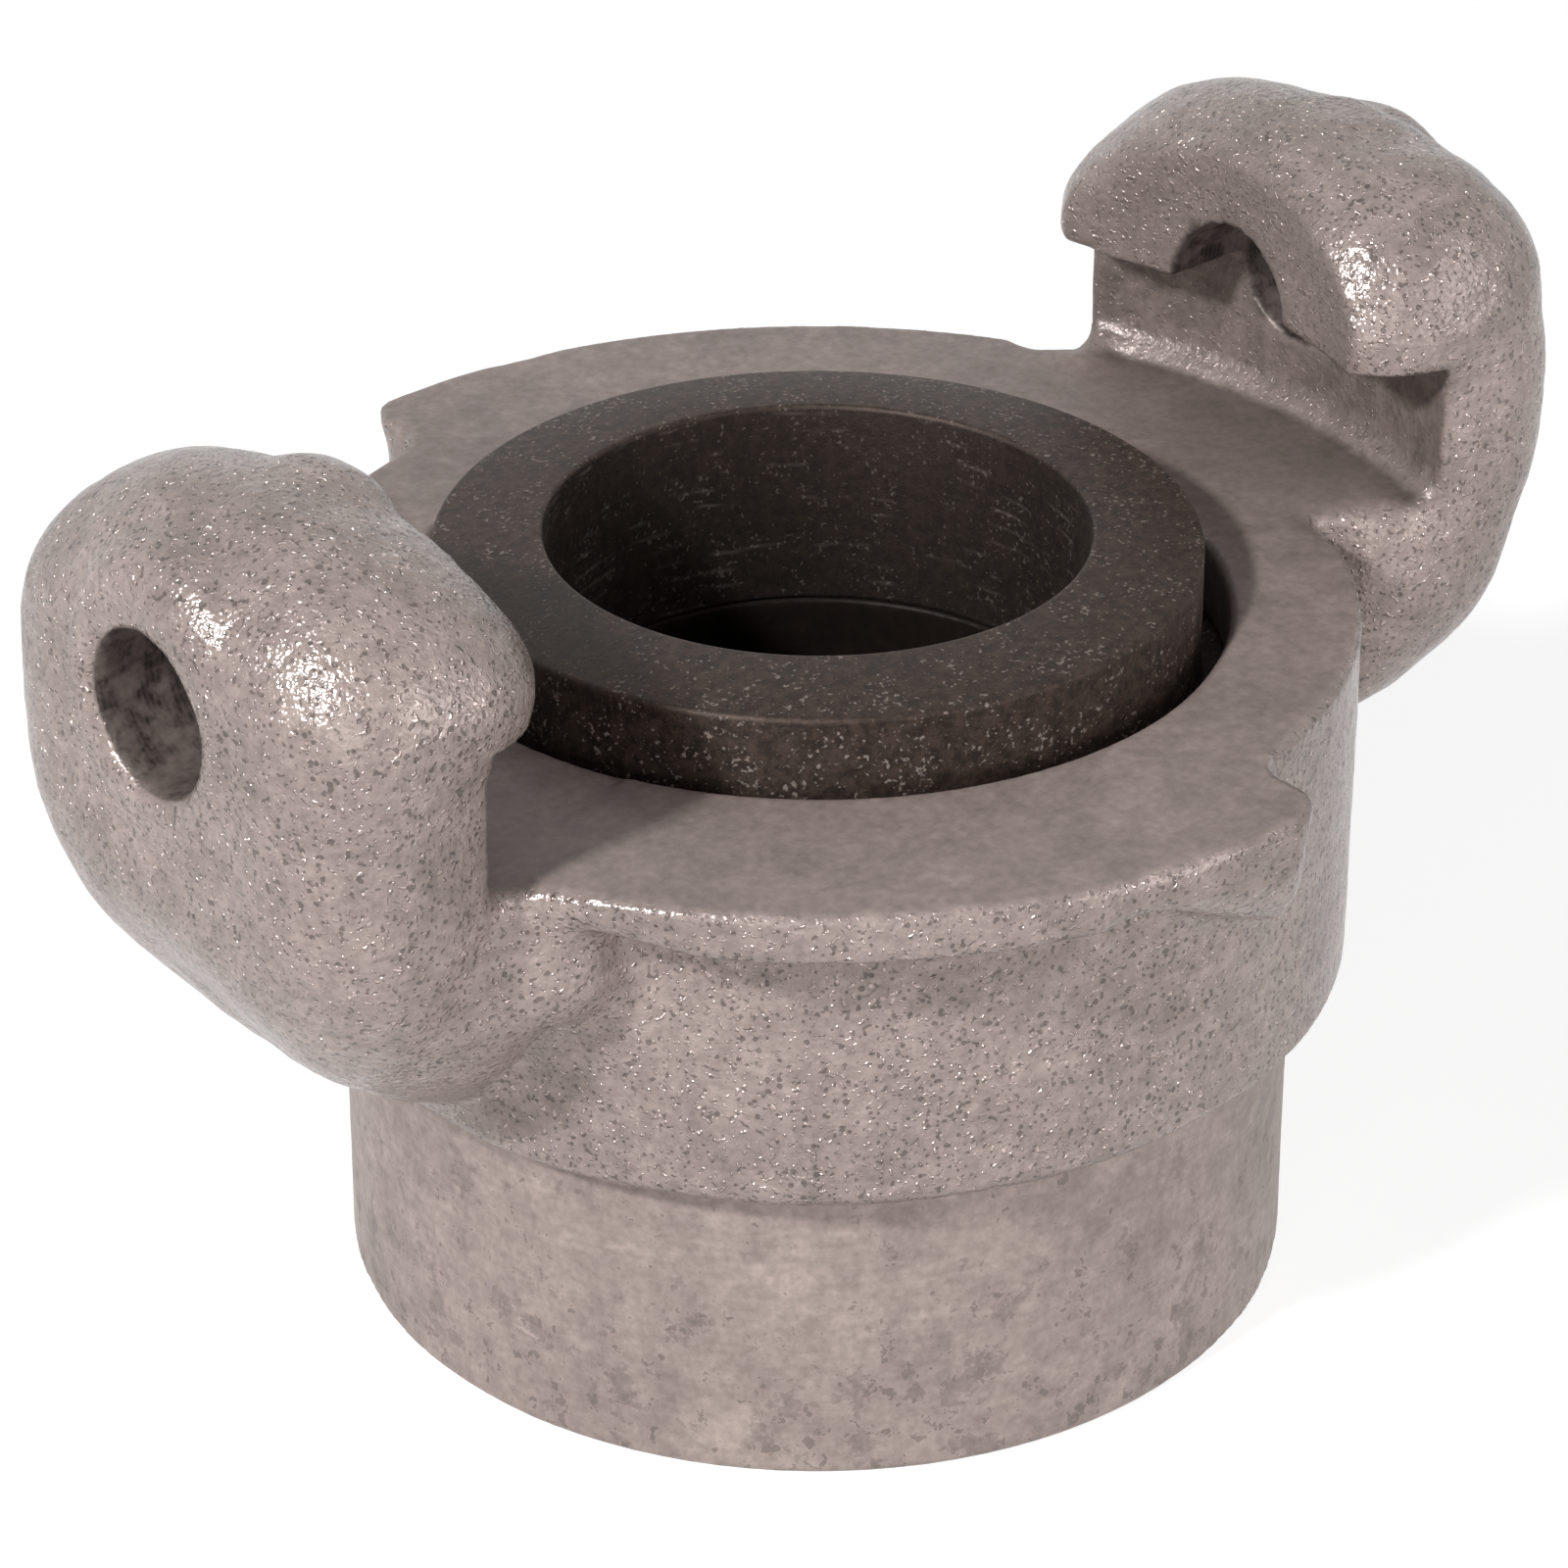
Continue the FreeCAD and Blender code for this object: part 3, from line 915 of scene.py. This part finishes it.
# Painted shade: the ring's hole is painted darker.
painted_hole_shade = add_node(
    rubber, "Math", {0: in_hole.outputs[0], 1: -0.65, 2: 1.0}, operation="MULTIPLY_ADD"
)
clean_tone = add_node(rubber, "VectorMath", {
    0: rubber_tone.outputs[2], "Scale": painted_hole_shade.outputs[0],
}, operation="SCALE")
dusted = add_node(rubber, "Mix", {
    "Factor_Float": marks.outputs[0],
    "A_Color": clean_tone.outputs[0],
    "B_Color": linear("#8d827b"),
}, data_type="RGBA")
rubber_bump = add_node(
    rubber, "Bump", {"Height": bloom.outputs["Fac"], "Strength": 0.6, "Distance": 0.0001}
)
rubber_surface = add_node(rubber, "BsdfPrincipled", {
    "Base Color": dusted.outputs[2],
    "Roughness": 0.6,
    "Specular IOR Level": 0.36,
    "Specular Tint": linear("#f0d8cd"),
    "Normal": rubber_bump.outputs["Normal"],
})
add_node(rubber, "OutputMaterial", {"Surface": rubber_surface.outputs[0]})
ring_mesh.materials.append(rubber)
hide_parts("seal_ring")
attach(seal, "root")

# Floor and light
# A plain white sheet under the part, a small strong lamp to the camera's left that gives
# the shadows, one in the same place that adds only glints, and wide soft lamps that light
# all sides at a plain level.
sheet = bmesh.new()
bmesh.ops.create_grid(sheet, x_segments=2, y_segments=2, size=3.0)
floor_mesh = bpy.data.meshes.new("floor")
sheet.to_mesh(floor_mesh)
sheet.free()
floor = bpy.data.objects.new("floor", floor_mesh)
bpy.context.scene.collection.objects.link(floor)

# White paper, seen as white where nothing shades it, and as plain paper by other rays.
paper = bpy.data.materials.new("white_paper")
paper.use_nodes = True
paper.node_tree.nodes.clear()
rays = add_node(paper, "LightPath")
seen = add_node(
    paper, "Math", {0: rays.outputs["Is Camera Ray"], 1: rays.outputs["Is Glossy Ray"]},
    operation="MAXIMUM",
)
seen_too = add_node(
    paper, "Math", {0: seen.outputs[0], 1: rays.outputs["Is Transmission Ray"]},
    operation="MAXIMUM",
)
plain_paper = add_node(paper, "BsdfDiffuse", {"Color": linear("#dcdcdc")})
shaded_paper = add_node(paper, "BsdfDiffuse", {"Color": linear("#a0a0a0")})
paper_place = add_node(paper, "TexCoord").outputs["Object"]
from_middle = add_node(paper, "VectorMath", {0: paper_place}, operation="LENGTH")
clear_of_part = add_node(
    paper, "Math", {0: from_middle.outputs["Value"], 1: 0.0285}, operation="GREATER_THAN"
)
glow = add_node(paper, "Math", {0: clear_of_part.outputs[0], 1: 0.84}, operation="MULTIPLY")
paper_glow = add_node(
    paper, "Emission", {"Color": linear("#ffffff"), "Strength": glow.outputs[0]}
)
lit_paper = add_node(paper, "AddShader", {0: shaded_paper.outputs[0], 1: paper_glow.outputs[0]})
either = add_node(paper, "MixShader", {
    "Fac": seen_too.outputs[0], 1: plain_paper.outputs[0], 2: lit_paper.outputs[0],
})
add_node(paper, "OutputMaterial", {"Surface": either.outputs[0]})
floor_mesh.materials.append(paper)

bpy.context.scene.view_settings.view_transform = "Standard"
world = bpy.data.worlds.new("studio")
bpy.context.scene.world = world
world.use_nodes = True
world.node_tree.nodes.clear()
world_rays = add_node(world, "LightPath")
world_seen = add_node(world, "Math", {
    0: world_rays.outputs["Is Camera Ray"], 1: world_rays.outputs["Is Glossy Ray"],
}, operation="MAXIMUM")
world_seen_too = add_node(
    world, "Math", {0: world_seen.outputs[0], 1: world_rays.outputs["Is Transmission Ray"]},
    operation="MAXIMUM",
)
room = add_node(world, "Background", {"Color": linear("#ffffff"), "Strength": 0.07})
backdrop = add_node(world, "Background", {"Color": linear("#ffffff"), "Strength": 1.0})
world_mix = add_node(world, "MixShader", {
    "Fac": world_seen_too.outputs[0], 1: room.outputs[0], 2: backdrop.outputs[0],
})
add_node(world, "OutputWorld", {"Surface": world_mix.outputs[0]})


def add_lamp(name, turn, rise, distance, size, power):
    """A square lamp facing the part, turn degrees from the X axis and rise above the floor."""
    turn = math.radians(turn)
    rise = math.radians(rise)
    towards = Vector((
        math.cos(turn) * math.cos(rise),
        math.sin(turn) * math.cos(rise),
        math.sin(rise),
    ))
    data = bpy.data.lights.new(name, "AREA")
    data.size = size
    data.energy = power
    lamp = bpy.data.objects.new(name, data)
    bpy.context.scene.collection.objects.link(lamp)
    lamp.location = Vector((0, 0, 0.035)) + towards * distance
    lamp.rotation_euler = towards.to_track_quat("Z", "Y").to_euler()
    return lamp


key_turn = 187
key_rise = 38
key_distance = 0.9
add_lamp("key_lamp", key_turn, key_rise, key_distance, 0.075, 5.7)
glint_lamp = add_lamp("glint_lamp", key_turn, key_rise, key_distance, 0.13, 17.0)
glint_lamp.visible_diffuse = False
add_lamp("front_lamp", 224, 8, 1.1, 0.8, 4.4)
add_lamp("side_lamp", 288, 10, 1.1, 0.8, 6.3)
add_lamp("far_lamp", 50, 12, 1.2, 0.9, 1.0)
